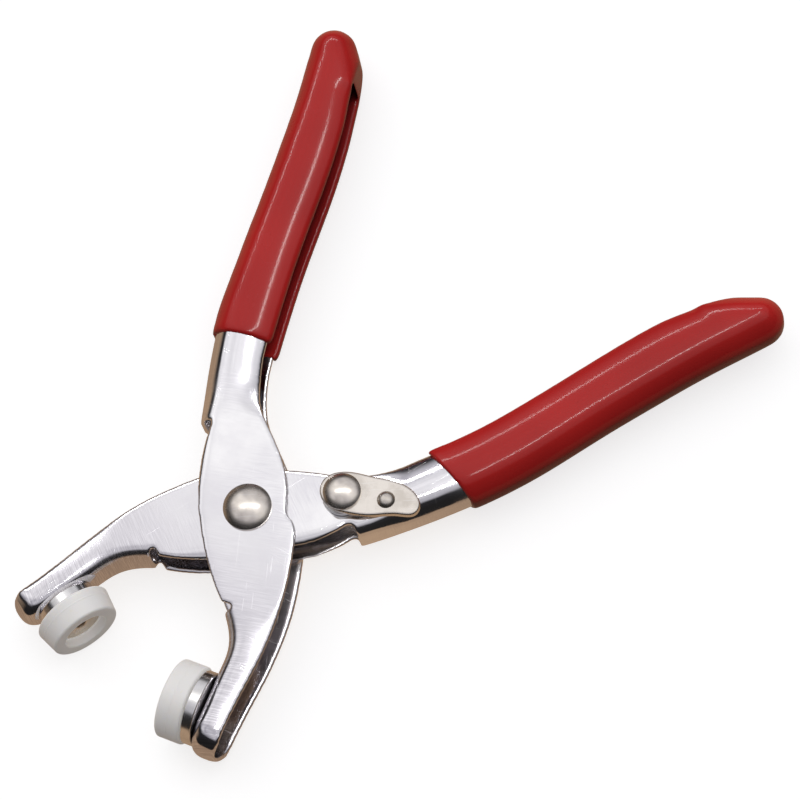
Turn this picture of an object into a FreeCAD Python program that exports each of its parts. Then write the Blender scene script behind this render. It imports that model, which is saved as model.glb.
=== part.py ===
import FreeCAD, Part
import math
import os
import Sketcher

# Snap setting press: two pressed channel arms crossing on a domed rivet,
# dipped grips, a ring die on each jaw and a swinging lock plate.
# Millimetres. The pivot axis is Z, +Z towards the domed rivet head, and the
# tool lies flat on its back on Z = 0. The inner arm's handle goes to +X +Y,
# the outer arm's to -X +Y, and both jaws point to -Y.

os.makedirs("parts", exist_ok=True)
doc = FreeCAD.newDocument("snap_setting_press")
V = FreeCAD.Vector

# ---------------------------------------------------------------- dimensions
DIMS = [
    ("sheet", 1.2),                 # arm sheet thickness
    ("outer_width", 12.8),          # outer arm over its cheeks
    ("inner_width", 10.2),          # inner arm over its cheeks
    ("bend_radius", 2.6),           # outside bend radius of the jaws
    ("handle_bend", 3.8),           # outside bend radius of the handles
    ("inside_bend", 1.4),           # inside bend radius of the channels
    ("mid_height", 8.5),            # pivot mid plane above the rest plane
    ("skin_out", 0.8),              # dipped coat outside
    ("skin_in", 0.5),               # dipped coat inside
    ("pivot_radius", 2.5),
    ("pivot_play", 0.05),
    ("pivot_head_radius", 5.15),
    ("pivot_head_height", 2.3),
    ("pivot_tail_radius", 4.1),
    ("pivot_tail_height", 1.4),
    ("back_washer_radius", 5.0),
    ("back_washer_thick", 0.7),
    ("bush_radius", 3.7),
    ("die_angle", 16.05),           # die axis below horizontal, arms open
    ("die_x", 19.72),               # where the die axis meets the jaw web
    ("die_y", 38.13),
    ("collar_height", 2.5),
    ("upper_collar_radius", 6.5),
    ("lower_collar_radius", 8.0),
    ("ring_height", 5.6),
    ("upper_ring_face_radius", 7.55),
    ("upper_ring_back_radius", 8.5),
    ("lower_ring_radius", 8.5),
    ("ring_bore_radius", 4.9),
    ("spigot_radius", 5.8),         # collar spigot inside the ring's back
    ("spigot_height", 1.2),
    ("post_recess", 2.0),           # post face below the ring face
    ("post_radius", 4.55),
    ("post_play", 0.05),
    ("post_eye_radius", 1.15),
    ("post_tail_radius", 2.0),
    ("fixing_radius", 2.45),
    ("fixing_thick", 0.9),
    ("latch_x", 14.41),
    ("latch_y", 14.17),
    ("latch_thick", 1.5),
    ("latch_rivet_radius", 1.6),
    ("latch_head_radius", 4.0),
    ("latch_head_height", 1.9),
    ("latch_tail_radius", 2.5),
    ("latch_tail_height", 0.8),
    ("latch_play", 0.05),
    ("spacer_radius", 4.3),
    ("spacer_thick", 1.1),
    ("friction_thick", 0.3),
    ("spring_wire", 1.1),
    ("spring_radius", 4.6),
]
dims = doc.addObject("Spreadsheet::Sheet", "dims")
for row, (name, value) in enumerate(DIMS, start=1):
    dims.set("A%d" % row, name)
    dims.set("B%d" % row, repr(value))
    dims.setAlias("B%d" % row, name)
doc.recompute()


def val(name):
    return float(dims.get(name))


# ---------------------------------------------------------------- helpers
def new_body(name):
    b = doc.addObject("PartDesign::Body", name)
    b.Label = name
    return b


def base_plane(b, role):
    for f in b.Origin.OriginFeatures:
        if f.Role == role:
            return f
    raise RuntimeError(role)


def new_sketch(b, name, role="XY_Plane", place=None):
    s = b.newObject("Sketcher::SketchObject", name)
    s.AttachmentSupport = [(base_plane(b, role), "")]
    s.MapMode = "FlatFace"
    if place is not None:
        s.AttachmentOffset = place
    return s


def join_ends(s, n, closed=True):
    for i in range(n if closed else n - 1):
        s.addConstraint(Sketcher.Constraint("Coincident", i, 2, (i + 1) % n, 1))


def add_chain(s, geo):
    """Add a closed chain of lines and curves, each ending where the next begins."""
    for g in geo:
        s.addGeometry(g, False)
    join_ends(s, len(geo))


def spline(points, t0=None, t1=None):
    c = Part.BSplineCurve()
    if t0 is not None or t1 is not None:
        n = len(points)
        z = V(0, 0, 0)
        tans = [z] * n
        flags = [False] * n
        if t0 is not None:
            tans[0] = t0
            flags[0] = True
        if t1 is not None:
            tans[-1] = t1
            flags[-1] = True
        c.interpolate(Points=points, Tangents=tans, TangentFlags=flags)
    else:
        c.interpolate(Points=points)
    return c


def sample(c, n):
    a, b = c.FirstParameter, c.LastParameter
    return [a + (b - a) * i / (n - 1) for i in range(n)]


def offset_points(c, dist, n):
    """Points to the left of the curve's direction by dist (right if negative)."""
    out = []
    for u in sample(c, n):
        p = c.value(u)
        t = c.tangent(u)[0]
        t.normalize()
        out.append(V(p.x - t.y * dist, p.y + t.x * dist, 0))
    return out


def pad(b, name, sk, expr, symmetric=False, reverse=False):
    f = b.newObject("PartDesign::Pad", name)
    f.Profile = sk
    f.setExpression("Length", expr)
    if symmetric:
        f.SideType = "Symmetric"
    f.Reversed = reverse
    sk.Visibility = False
    return f


def pocket(b, name, sk, expr=None, symmetric=False, reverse=False, through=False):
    f = b.newObject("PartDesign::Pocket", name)
    f.Profile = sk
    if through:
        f.Type = "ThroughAll"
    else:
        f.setExpression("Length", expr)
    if symmetric:
        f.SideType = "Symmetric"
    f.Reversed = reverse
    sk.Visibility = False
    return f


def check(o):
    doc.recompute()
    bad = [s for s in o.State if s in ("Invalid", "Error")]
    if bad or o.Shape.isNull():
        raise RuntimeError("%s is %s" % (o.Name, bad or "empty"))
    return o


def circle_sketch(b, name, x, y, radius_expr, role="XY_Plane", place=None, x_expr=None, y_expr=None):
    s = new_sketch(b, name, role, place)
    s.addGeometry(Part.Circle(V(x, y, 0), V(0, 0, 1), 1.0), False)
    s.addConstraint(Sketcher.Constraint("Radius", 0, 1.0))
    s.setExpression("Constraints[0]", radius_expr)
    if abs(x) < 1e-9 and abs(y) < 1e-9:
        s.addConstraint(Sketcher.Constraint("Coincident", 0, 3, -1, 1))
    else:
        s.addConstraint(Sketcher.Constraint("DistanceX", -1, 1, 0, 3, x))
        i = s.ConstraintCount - 1
        if x_expr:
            s.setExpression("Constraints[%d]" % i, x_expr)
        s.addConstraint(Sketcher.Constraint("DistanceY", -1, 1, 0, 3, y))
        i = s.ConstraintCount - 1
        if y_expr:
            s.setExpression("Constraints[%d]" % i, y_expr)
    return s


def revolve(b, name, sk, axis="V_Axis", groove=False):
    f = b.newObject("PartDesign::Groove" if groove else "PartDesign::Revolution", name)
    f.Profile = sk
    f.ReferenceAxis = (sk, [axis])
    f.Angle = 360.0
    sk.Visibility = False
    return f


def profile_sketch(b, name, pts, place=None, role="XZ_Plane"):
    """A closed polygon; pts are (x, y, x_expr, y_expr), bound point by point."""
    s = new_sketch(b, name, role, place)
    n = len(pts)
    for i in range(n):
        a, c = pts[i], pts[(i + 1) % n]
        s.addGeometry(Part.LineSegment(V(a[0], a[1], 0), V(c[0], c[1], 0)), False)
    join_ends(s, n)
    for i in range(n):
        x, y, xe, ye = pts[i]
        for kind, v, e in (("DistanceX", x, xe), ("DistanceY", y, ye)):
            if abs(v) < 1e-9 and e is None:
                s.addConstraint(Sketcher.Constraint("PointOnObject", i, 1, -2 if kind == "DistanceX" else -1))
                continue
            s.addConstraint(Sketcher.Constraint(kind, -1, 1, i, 1, v))
            if e:
                s.setExpression("Constraints[%d]" % (s.ConstraintCount - 1), e)
    return s


# ---------------------------------------------------------------- outlines
# One arm drawn with its handle to +X and its jaw to -X; side = +1 keeps it
# (inner arm), side = -1 mirrors it (outer arm).
SA = math.radians(val("die_angle"))
WEB_DIR = V(-math.sin(SA), -math.cos(SA), 0)       # along the jaw web to the nose
DIE_DIR = V(math.cos(SA), -math.sin(SA), 0)        # out of the die
DIE_FOOT = V(-val("die_x"), -val("die_y"), 0)


def on_web(along, depth):
    """Point at a distance along the jaw web from the die, depth towards the rim."""
    return DIE_FOOT + WEB_DIR * along - DIE_DIR * depth


NOSE = 9.6
NOSE_DEPTH = 3.6

HANDLE_OUTER = {
    "outer": [(55.0, 83.5), (51.4, 75.0), (48.0, 66.3), (44.7, 57.6),
              (41.5, 48.8), (38.3, 40.3), (34.9, 31.6), (31.2, 24.4), (26.9, 17.2), (21.6, 9.0)],
    "inner": [(58.0, 87.0), (54.5, 78.9), (50.9, 69.7), (47.6, 61.0),
              (44.5, 52.1), (41.3, 43.3), (37.4, 34.6), (32.6, 25.7), (27.6, 17.5), (21.9, 9.2)],
}
# round end of each handle: centre, radius, start and end angle, then the rim corner
TIP = {
    "outer": ((55.2, 93.9), 4.2, -22.0, 128.0, (49.3, 94.6)),
    "inner": ((58.6, 98.4), 4.2, -23.0, 126.0, (52.2, 98.9)),
}
RIM_LOW = [(-27.6, -45.25), (-27.95, -43.4), (-27.4, -41.2), (-26.1, -36.4), (-24.9, -31.2), (-23.5, -24.6), (-21.7, -18.2),
           (-19.2, -11.4), (-16.4, -5.8), (-13.2, -0.4)]
RIM_HIGH = {
    "outer": [(-5.1, 6.9), (-1.4, 10.9), (3.6, 14.3), (8.9, 17.0), (13.2, 19.6), (17.2, 23.7),
              (20.6, 28.9), (24.1, 36.4), (27.7, 44.6), (32.3, 56.2), (37.3, 69.5),
              (42.4, 81.0), (49.3, 94.6)],
    "inner": [(-13.2, -0.4), (-9.9, 3.6), (-5.1, 8.0), (0.4, 11.6), (5.6, 14.8), (10.6, 17.5),
              (14.6, 20.4), (18.2, 24.9), (21.7, 31.2), (25.6, 38.0), (30.4, 48.6), (35.2, 61.6),
              (40.0, 75.0), (44.9, 86.8), (52.2, 98.9)],
}


def vec(p):
    return V(p[0], p[1], 0)


def arm_curves(kind):
    """Curves of the outline, running handle tip -> web -> jaw nose -> rim -> tip."""
    (tx, ty), tr, ta, tb, corner = TIP[kind]
    ta, tb = math.radians(ta), math.radians(tb)
    tip_arc = spline([V(tx + tr * math.cos(tb + (ta - tb) * i / 8.0), ty + tr * math.sin(tb + (ta - tb) * i / 8.0), 0)
                      for i in range(9)],
                     t0=V(math.sin(tb), -math.cos(tb), 0), t1=V(math.sin(ta), -math.cos(ta), 0))
    tip_a = V(tx + tr * math.cos(ta), ty + tr * math.sin(ta), 0)
    tip_b = V(tx + tr * math.cos(tb), ty + tr * math.sin(tb), 0)
    web_h = spline([tip_a] + [vec(p) for p in HANDLE_OUTER[kind]], t0=V(math.sin(ta), -math.cos(ta), 0))
    n1a = vec(HANDLE_OUTER[kind][-1])
    n1b = V(19.0, 10.7, 0)
    lc_end = V(-8.9, -19.2, 0)
    waist = spline([n1b, V(17.7, 7.2, 0), V(15.6, 2.9, 0), V(12.1, -2.3, 0), V(6.9, -7.9, 0),
                    V(1.2, -12.8, 0), V(-3.9, -16.4, 0), lc_end])
    n2b = V(-12.0, -17.9, 0)
    n2a = V(-10.3, -20.4, 0)
    j0 = on_web(-7.4, 0)
    web_j = spline([n2a, V(-13.2, -22.6, 0), V(-15.6, -25.4, 0), V(-16.9, -28.3, 0), j0], t1=WEB_DIR)
    j1 = on_web(NOSE, 0)
    j2 = on_web(NOSE, NOSE_DEPTH)
    rim_low = [j2] + [vec(p) for p in RIM_LOW]
    rise = V(-DIE_DIR.x, -DIE_DIR.y, 0)
    if kind == "outer":
        low = spline(rim_low + [V(-10.3, 3.0, 0), V(-9.5, 3.5, 0)], t0=rise)
        high = spline([vec(p) for p in RIM_HIGH[kind]])
        rim = [low, Part.LineSegment(V(-9.5, 3.5, 0), V(-7.5, 3.9, 0)),
               Part.LineSegment(V(-7.5, 3.9, 0), vec(RIM_HIGH[kind][0])), high]
    else:
        rim = [spline(rim_low + [vec(p) for p in RIM_HIGH[kind][1:]], t0=rise)]
    tip = [Part.LineSegment(vec(corner), tip_b), tip_arc]
    return {
        "web_h": web_h, "n1": [Part.LineSegment(n1a, n1b)], "waist": waist,
        "n2": [Part.LineSegment(lc_end, n2b), Part.LineSegment(n2b, n2a)], "web_j": web_j,
        "straight": Part.LineSegment(j0, j1), "nose": Part.LineSegment(j1, j2), "rim": rim, "tip": tip,
    }


def flip(geo, side):
    """Mirror a chain in X for side -1, keeping its running order."""
    if side > 0:
        return geo
    out = []
    for g in geo:
        if isinstance(g, Part.LineSegment):
            a, b = g.StartPoint, g.EndPoint
            out.append(Part.LineSegment(V(-a.x, a.y, 0), V(-b.x, b.y, 0)))
        else:
            c = g.copy()
            for i in range(1, c.NbPoles + 1):
                p = c.getPole(i)
                c.setPole(i, V(-p.x, p.y, 0))
            out.append(c)
    return out


def edges_at(shape, test):
    names = []
    for i, e in enumerate(shape.Edges, start=1):
        if test(e):
            names.append("Edge%d" % i)
    return names


def curve_distance(c, q):
    if isinstance(c, Part.LineSegment):
        a, b = c.StartPoint, c.EndPoint
        d = b - a
        k = max(0.0, min(1.0, (q - a).dot(d) / d.dot(d)))
        return q.distanceToPoint(a + d * k)
    return Part.Vertex(q).distToShape(c.toShape())[0]


def on_curves(e, curves, z, tol=0.03):
    for k in (0.08, 0.5, 0.92):
        u = e.FirstParameter + (e.LastParameter - e.FirstParameter) * k
        p = e.valueAt(u)
        if abs(abs(p.z) - z) > 0.02:
            return False
        if min(curve_distance(c, V(p.x, p.y, 0)) for c in curves) > tol:
            return False
    return True


def offset_on_xz(origin, xdir, ydir, zdir):
    """AttachmentOffset, in the XZ plane's own axes, of a frame given in body axes."""
    m = FreeCAD.Matrix(xdir.x, ydir.x, zdir.x, origin.x,
                       xdir.y, ydir.y, zdir.y, origin.y,
                       xdir.z, ydir.z, zdir.z, origin.z, 0, 0, 0, 1)
    world = FreeCAD.Placement(m)
    plane = FreeCAD.Placement(V(0, 0, 0), FreeCAD.Rotation(V(1, 0, 0), 90))
    return plane.inverse().multiply(world)


def jaw_frame(side):
    """Frame in the web plane: x along the jaw to the nose, normal along +-die axis."""
    foot = V(side * DIE_FOOT.x, DIE_FOOT.y, 0)
    x = V(side * WEB_DIR.x, WEB_DIR.y, 0)
    y = V(0, 0, 1)
    z = x.cross(y)          # right-handed
    return foot, x, y, z


def build_arm(name, kind, side, width_alias):
    w = val(width_alias)
    t = val("sheet")
    c = arm_curves(kind)
    b = new_body(name)
    # blank: the whole outline at full width
    s = new_sketch(b, name + "_outline")
    chain = ([c["web_h"]] + c["n1"] + [c["waist"]] + c["n2"] + [c["web_j"], c["straight"], c["nose"]]
             + c["rim"] + c["tip"])
    add_chain(s, flip(chain, side))
    f = check(pad(b, name + "_blank", s, "dims." + width_alias, symmetric=True))

    # round the nose in the plane of the web
    foot, x, y, z = jaw_frame(side)
    place = offset_on_xz(foot - z * 20, x, y, z)
    r = w / 2
    s = new_sketch(b, name + "_nose_plan", "XZ_Plane", place)
    cx = NOSE - r
    big = 30.0
    arc = Part.ArcOfCircle(Part.Circle(V(cx, 0, 0), V(0, 0, 1), r), -math.pi / 2, math.pi / 2)
    geo = [arc, Part.LineSegment(V(cx, r, 0), V(cx, big, 0)), Part.LineSegment(V(cx, big, 0), V(big, big, 0)),
           Part.LineSegment(V(big, big, 0), V(big, -big, 0)), Part.LineSegment(V(big, -big, 0), V(cx, -big, 0)),
           Part.LineSegment(V(cx, -big, 0), V(cx, -r, 0))]
    add_chain(s, geo)
    before = f.Shape.Volume
    f2 = pocket(b, name + "_nose_round", s, "4 * dims.outer_width", reverse=True)
    check(f2)
    if before - f2.Shape.Volume < 1.0:
        f2.Reversed = False
        check(f2)
    if before - f2.Shape.Volume < 1.0:
        raise RuntimeError("nose of %s was not cut" % name)

    # outside bends
    handle_sel = flip([c["web_h"]] + c["tip"], side)
    sel = flip([c["web_j"], c["straight"]], side)

    def is_bend(e):
        if on_curves(e, sel, r):
            return True
        # the nose arc in the web plane
        for k in (0.1, 0.5, 0.9):
            u = e.FirstParameter + (e.LastParameter - e.FirstParameter) * k
            p = e.valueAt(u) - foot
            if abs(p.dot(z)) > 0.02 or p.dot(x) < cx - 0.05:
                return False
            d = math.hypot(p.dot(x) - cx, p.z)
            if abs(d - r) > 0.03:
                return False
        return True

    jaw_bends = b.newObject("PartDesign::Fillet", name + "_jaw_bends")
    jaw_bends.Base = (f2, edges_at(f2.Shape, is_bend))
    jaw_bends.setExpression("Radius", "dims.bend_radius")
    check(jaw_bends)
    fil = b.newObject("PartDesign::Fillet", name + "_handle_bends")
    fil.Base = (jaw_bends, edges_at(jaw_bends.Shape, lambda e: on_curves(e, handle_sel, r)))
    fil.setExpression("Radius", "dims.handle_bend")
    check(fil)

    # hollow of the channel, open on the rim side and at the waist
    inner = -t
    web_in = spline(offset_points(c["web_h"], inner, 15))
    jaw_in = spline(offset_points(c["web_j"], inner, 7), t1=WEB_DIR)
    arc_in = spline(offset_points(c["tip"][1], inner, 9))
    corner, tip_b = c["tip"][0].StartPoint, c["tip"][0].EndPoint
    u = (tip_b - corner).normalize()
    q1 = arc_in.value(arc_in.FirstParameter)
    q0 = q1 - u * ((tip_b - corner).Length + 8.0)
    e1 = web_in.value(web_in.LastParameter)
    e2 = jaw_in.value(jaw_in.FirstParameter)
    n1a = c["n1"][0].StartPoint
    n2a = c["n2"][1].EndPoint
    out1 = (n1a - e1).normalize()
    out2 = (n2a - e2).normalize()
    j0 = jaw_in.value(jaw_in.LastParameter)
    far = [n1a + out1 * 5, V(14, -9, 0), n2a + out2 * 5, e2]
    chain = [web_in]
    last = e1
    for pnt in far:
        chain.append(Part.LineSegment(last, pnt))
        last = pnt
    chain.append(jaw_in)
    last = j0
    for pnt in [on_web(cx, t), on_web(cx, 15.0), V(-42, -22, 0), V(-32, 5, 0), V(-16, 18, 0), V(0, 24, 0),
                V(8, 32, 0), V(17, 50, 0), V(27, 74, 0), q0 + V(-4, 0, 0), q0, q1]:
        chain.append(Part.LineSegment(last, pnt))
        last = pnt
    chain.append(arc_in)
    s = new_sketch(b, name + "_hollow_outline")
    add_chain(s, flip(chain, side))
    hol = pocket(b, name + "_hollow", s, "dims.%s - 2 * dims.sheet" % width_alias, symmetric=True)
    check(hol)

    # hollow of the rounded nose
    inward = V(side * -DIE_DIR.x, -DIE_DIR.y, 0)
    place = offset_on_xz(foot + inward * t, x, y, z)
    s = new_sketch(b, name + "_nose_hollow_plan", "XZ_Plane", place)
    ri = r - t
    geo = [Part.ArcOfCircle(Part.Circle(V(cx, 0, 0), V(0, 0, 1), ri), -math.pi / 2, math.pi / 2),
           Part.LineSegment(V(cx, ri, 0), V(cx - 1.5, ri, 0)),
           Part.LineSegment(V(cx - 1.5, ri, 0), V(cx - 1.5, -ri, 0)),
           Part.LineSegment(V(cx - 1.5, -ri, 0), V(cx, -ri, 0))]
    add_chain(s, geo)
    before = hol.Shape.Volume
    nh = pocket(b, name + "_nose_hollow", s, "1.5 * dims.inner_width", reverse=z.dot(inward) > 0)
    check(nh)
    if before - nh.Shape.Volume < 20.0:
        raise RuntimeError("nose hollow of %s: %.1f" % (name, before - nh.Shape.Volume))

    # inside bends
    sel_in = flip([web_in, jaw_in, Part.LineSegment(j0, on_web(cx, t)), arc_in, Part.LineSegment(q0, q1)], side)
    shp = nh.Shape

    def is_inner(e):
        if on_curves(e, sel_in, ri):
            return True
        for k in (0.1, 0.5, 0.9):
            uu = e.FirstParameter + (e.LastParameter - e.FirstParameter) * k
            pp = e.valueAt(uu) - foot - inward * t
            if abs(pp.dot(z)) > 0.02 or pp.dot(x) < cx - 0.05:
                return False
            if abs(math.hypot(pp.dot(x) - cx, pp.z) - ri) > 0.03:
                return False
        return True

    names = edges_at(shp, is_inner)
    inf = b.newObject("PartDesign::Fillet", name + "_inside_bends")
    inf.Base = (nh, names)
    inf.setExpression("Radius", "dims.inside_bend")
    check(inf)

    # pivot hole and die hole
    hole = "dims.pivot_radius" + (" + dims.pivot_play" if kind == "inner" else "")
    s = circle_sketch(b, name + "_pivot_circle", 0, 0, hole)
    ph = pocket(b, name + "_pivot_hole", s, "dims.%s + 4" % width_alias, symmetric=True)
    check(ph)
    s = circle_sketch(b, name + "_die_circle", 0, 0, "dims.post_tail_radius", "XZ_Plane",
                      offset_on_xz(foot, x, y, z))
    dh = pocket(b, name + "_die_hole", s, "4 * dims.sheet", symmetric=True)
    check(dh)
    b.Tip = dh
    info = {"curves": c, "web_in": web_in, "arc_in": arc_in, "u": u, "corner": corner, "side": side}
    return b, info


def finish_body(b):
    b.setExpression("Placement.Base.z", "dims.mid_height")
    doc.recompute()


outer_arm, outer_info = build_arm("outer_arm", "outer", -1, "outer_width")
inner_arm, inner_info = build_arm("inner_arm", "inner", 1, "inner_width")

# lock plate rivet hole, front cheek only
s = circle_sketch(inner_arm, "inner_arm_latch_circle", val("latch_x"), val("latch_y"), "dims.latch_rivet_radius",
                  x_expr="dims.latch_x", y_expr="dims.latch_y")
vol = inner_arm.Shape.Volume
f = pocket(inner_arm, "inner_arm_latch_hole", s, "dims.inner_width", reverse=True)
check(f)
inner_arm.Tip = f
doc.recompute()
cut = vol - inner_arm.Shape.Volume
if not 5 < cut < 12:
    raise RuntimeError("latch hole removed %.2f" % cut)
for b in (outer_arm, inner_arm):
    finish_body(b)


# ---------------------------------------------------------------- dipped grips
DIP = {"outer": (V(32.4, 26.6, 0), V(21.9, 31.4, 0)), "inner": (V(35.6, 29.9, 0), V(22.3, 32.6, 0))}


def line_hit(p, d, q, e):
    """Where the line p + k d meets the line q + m e."""
    k = ((q.x - p.x) * e.y - (q.y - p.y) * e.x) / (d.x * e.y - d.y * e.x)
    return p + d * k


def clip(points, dip):
    """Keep the points on the handle side of the dip line, and end on it."""
    a, b = dip
    d = b - a
    out = []
    for i, p in enumerate(points):
        side_of = (p.x - a.x) * d.y - (p.y - a.y) * d.x
        if side_of > 0:
            out.append(p)
        else:
            prev = points[i - 1]
            out.append(line_hit(prev, p - prev, a, d))
            break
    return out


def thin_out(pts, gap):
    out = [pts[0]]
    for p in pts[1:-1]:
        if p.distanceToPoint(out[-1]) >= gap:
            out.append(p)
    if pts[-1].distanceToPoint(out[-1]) < gap * 0.5:
        out[-1] = pts[-1]
    else:
        out.append(pts[-1])
    return out


def grip_chain(info, kind, d):
    """Closed outline of the dipped part of the handle, grown by d (d < 0 for its hollow)."""
    c = info["curves"]
    dip = DIP[kind]
    web = thin_out(clip(offset_points(c["web_h"], d, 200), dip), 6.0)
    rim_curve = c["rim"][-1]
    rim = offset_points(rim_curve, d, 400)
    rim.reverse()
    tip_b = c["tip"][0].EndPoint
    corner = c["tip"][0].StartPoint
    u = (tip_b - corner).normalize()
    n = V(-u.y, u.x, 0)
    arc = offset_points(c["tip"][1], d, 9)
    t_end = (rim[0] - rim[1]).normalize()
    hit = line_hit(rim[0], t_end, corner + n * d, u)
    if d > 0:
        rim = [hit] + [p for p in rim if p.distanceToPoint(hit) > 1.5]
    rim = clip(rim, dip)
    rim = thin_out(rim, 7.0)
    rim.reverse()
    return web, rim, hit, arc


def build_grip(name, info, kind, side, width_alias, arm):
    t = val("sheet")
    so, si = val("skin_out"), val("skin_in")
    w = val(width_alias)
    body = new_body(name + "_coat")
    web, rim, hit, arc = grip_chain(info, kind, so)
    web_c = spline(web)
    arc_c = spline(arc)
    rim_c = spline(rim)
    chain = [web_c, Part.LineSegment(web[-1], rim[0]), rim_c, Part.LineSegment(rim[-1], arc[0]), arc_c]
    s = new_sketch(body, name + "_outline")
    add_chain(s, flip(chain, side))
    f = check(pad(body, name + "_blank", s, "dims.%s + 2 * dims.skin_out" % width_alias, symmetric=True))
    sel = flip([web_c, arc_c, chain[3]], side)
    names = edges_at(f.Shape, lambda e: on_curves(e, sel, w / 2 + so))
    fil = body.newObject("PartDesign::Fillet", name + "_bends")
    fil.Base = (f, names)
    fil.setExpression("Radius", "dims.handle_bend + dims.skin_out")
    check(fil)
    # hollow
    k = -(t + si)
    c = info["curves"]
    dip = DIP[kind]
    web_h = offset_points(c["web_h"], k, 200)
    arc_h = offset_points(c["tip"][1], k, 9)
    d = (dip[1] - dip[0]).normalize()
    down = V(-d.y, d.x, 0)
    if down.y > 0:
        down = down * -1
    wclip = thin_out(clip(web_h, dip), 6.0)
    last = wclip[-1]
    u = info["u"]
    q1 = arc_h[0]
    q0 = q1 - u * 14.0
    far = [last + down * 3, dip[1] - d * -6 + down * 3, V(8, 40, 0), V(17, 56, 0), V(27, 78, 0), q0 + V(-4, 0, 0), q0, q1]
    web_hc = spline(wclip)
    arc_hc = spline(arc_h)
    chain = [web_hc]
    for pnt in far:
        chain.append(Part.LineSegment(last, pnt))
        last = pnt
    chain.append(arc_hc)
    s = new_sketch(body, name + "_hollow_outline")
    add_chain(s, flip(chain, side))
    hol = pocket(body, name + "_hollow", s, "dims.%s - 2 * dims.sheet - 2 * dims.skin_in" % width_alias, symmetric=True)
    check(hol)
    body.Tip = hol
    finish_body(body)
    cutter = doc.addObject("Part::Cut", name)
    cutter.Label = name
    cutter.Base = body
    cutter.Tool = arm
    check(cutter)
    return cutter


outer_grip = build_grip("outer_grip", outer_info, "outer", -1, "outer_width", outer_arm)
inner_grip = build_grip("inner_grip", inner_info, "inner", 1, "inner_width", inner_arm)
NODES = [outer_arm, inner_arm, outer_grip, inner_grip]


# ---------------------------------------------------------------- turned pieces
def turned(name, pts, place=None):
    """Body turned about its own Z from a half profile of (r, z, r_expr, z_expr)."""
    b = new_body(name)
    s = profile_sketch(b, name + "_profile", pts)
    f = revolve(b, name + "_turn", s)
    check(f)
    b.Tip = f
    if place is not None:
        b.Placement = place
    return b


def soften(b, name, radius_expr, test):
    tip = b.Tip
    names = edges_at(tip.Shape, test)
    if not names:
        raise RuntimeError("no edges for " + name)
    f = b.newObject("PartDesign::Fillet", name)
    f.Base = (tip, names)
    f.setExpression("Radius", radius_expr)
    check(f)
    b.Tip = f
    return f


def ring_edge(radius, z, tol=0.03):
    """Test for a full circular edge of the given radius and height, in body axes."""
    def test(e):
        c = e.Curve
        return (hasattr(c, "Radius") and abs(c.Radius - radius) < tol
                and abs(e.Vertexes[0].Point.z - z) < tol and e.Length > 1.9 * math.pi * radius)
    return test


def dome(name, radius_alias, height_alias, base_z, base_expr, shank_alias, low, low_expr, tail):
    """Rivet: domed head on base_z, shank down to low, then a formed tail (radius, height aliases)."""
    r, h = val(radius_alias), val(height_alias)
    rs = val(shank_alias)
    rt, ht = val(tail[0]), val(tail[1])
    b = new_body(name)
    s = new_sketch(b, name + "_profile", "XZ_Plane")
    rim = 0.45
    hc = h - rim
    ball = (r * r + hc * hc) / (2 * hc)
    zc = base_z + h - ball
    a0 = math.atan2(base_z + rim - zc, r)
    pts = [V(0, base_z + h, 0), V(0, low - ht, 0), V(rt - 0.4, low - ht, 0), V(rt, low - ht + 0.4, 0), V(rt, low, 0),
           V(rs, low, 0), V(rs, base_z, 0), V(r, base_z, 0), V(r, base_z + rim, 0)]
    for a, c in zip(pts[:-1], pts[1:]):
        s.addGeometry(Part.LineSegment(a, c), False)
    s.addGeometry(Part.ArcOfCircle(Part.Circle(V(0, zc, 0), V(0, 0, 1), ball), a0, math.pi / 2), False)
    n = len(pts) - 1
    for k in range(n - 1):
        s.addConstraint(Sketcher.Constraint("Coincident", k, 2, k + 1, 1))
    s.addConstraint(Sketcher.Constraint("Coincident", n - 1, 2, n, 1))
    s.addConstraint(Sketcher.Constraint("Coincident", n, 2, 0, 1))
    s.addConstraint(Sketcher.Constraint("PointOnObject", 0, 1, -2))
    s.addConstraint(Sketcher.Constraint("PointOnObject", 0, 2, -2))
    s.addConstraint(Sketcher.Constraint("PointOnObject", n, 3, -2))
    for k in (1, 4, 6):
        s.addConstraint(Sketcher.Constraint("Horizontal", k))
    for k in (3, 5, 7):
        s.addConstraint(Sketcher.Constraint("Vertical", k))

    def bind(kind, geo, pos, value, expr=None):
        s.addConstraint(Sketcher.Constraint(kind, -1, 1, geo, pos, value))
        if expr:
            s.setExpression("Constraints[%d]" % (s.ConstraintCount - 1), expr)

    bind("DistanceX", 5, 1, rs, "dims." + shank_alias)
    bind("DistanceX", 3, 1, rt, "dims." + tail[0])
    bind("DistanceX", 1, 2, rt - 0.4, "dims.%s - 0.4" % tail[0])
    bind("DistanceX", 6, 2, r, "dims." + radius_alias)
    bind("DistanceY", 0, 1, base_z + h, "%s + dims.%s" % (base_expr, height_alias))
    bind("DistanceY", 5, 2, base_z, base_expr)
    bind("DistanceY", 7, 2, base_z + rim, base_expr + " + 0.45")
    bind("DistanceY", 4, 1, low, low_expr)
    bind("DistanceY", 0, 2, low - ht, "%s - dims.%s" % (low_expr, tail[1]))
    bind("DistanceY", 3, 1, low - ht + 0.4, "%s - dims.%s + 0.4" % (low_expr, tail[1]))
    doc.recompute()
    f = revolve(b, name + "_turn", s)
    check(f)
    b.Tip = f
    return b


def simple_ring(name, r_out, r_out_e, r_in, r_in_e, z0, z0_e, z1, z1_e, place=None, edge=None):
    b = turned(name, [(r_in, z0, r_in_e, z0_e), (r_out, z0, r_out_e, z0_e),
                      (r_out, z1, r_out_e, z1_e), (r_in, z1, r_in_e, z1_e)], place)
    if edge:
        soften(b, name + "_edge", edge, lambda e: ring_edge(r_out, z0)(e) or ring_edge(r_out, z1)(e))
    return b


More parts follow.
